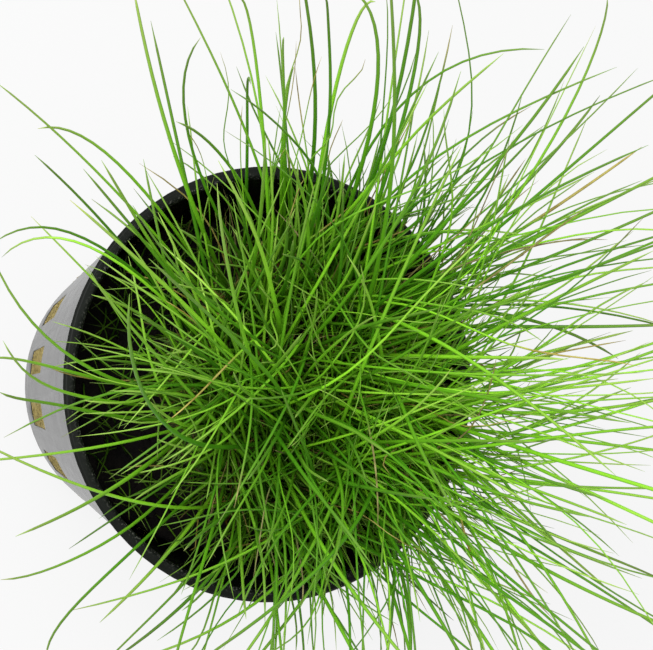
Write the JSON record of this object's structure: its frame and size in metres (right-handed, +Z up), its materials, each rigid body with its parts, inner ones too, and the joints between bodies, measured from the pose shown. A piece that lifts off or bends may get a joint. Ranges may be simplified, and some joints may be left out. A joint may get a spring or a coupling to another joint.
{
  "type": "potted dwarf hairgrass",
  "caption": "Slotted net pot holding a plug of growing medium, a mat of runners and a dense clump of fine needle-like blades that splay out over the rim.",
  "frame": {"origin": "centre of the pot's foot, on the surface that it stands on", "axes": "+Z up along the pot's axis; the clump grows nearer to +Y, and the open side of the pot's mouth is at -Y"},
  "size_m": [0.1402, 0.1214, 0.1281],
  "materials": {
    "pot_plastic": "satin black, moulded",
    "mineral_wool": "matted tan fibre, dark and damp on top",
    "runners": "tangled green and brown runners",
    "blade": "smooth fresh green with paler and brown tips"
  },
  "bodies": {
    "root": {"net_pot": "pot_plastic", "wool_plug": "mineral_wool", "runner_mat": "runners", "tuft_01": "blade", "tuft_02": "blade", "tuft_03": "blade", "tuft_04": "blade", "tuft_05": "blade", "tuft_06": "blade", "tuft_07": "blade", "tuft_08": "blade", "tuft_09": "blade", "tuft_10": "blade", "tuft_11": "blade", "tuft_12": "blade", "tuft_13": "blade", "tuft_14": "blade", "tuft_15": "blade", "tuft_16": "blade", "tuft_17": "blade", "tuft_18": "blade", "tuft_19": "blade", "tuft_20": "blade", "tuft_21": "blade", "tuft_22": "blade", "tuft_23": "blade", "tuft_24": "blade", "tuft_25": "blade", "tuft_26": "blade", "tuft_27": "blade", "tuft_28": "blade", "tuft_29": "blade", "tuft_30": "blade", "tuft_31": "blade", "tuft_32": "blade", "tuft_33": "blade", "tuft_34": "blade", "tuft_35": "blade", "tuft_36": "blade", "tuft_37": "blade", "tuft_38": "blade", "tuft_39": "blade", "tuft_40": "blade"}
  },
  "joints": []
}
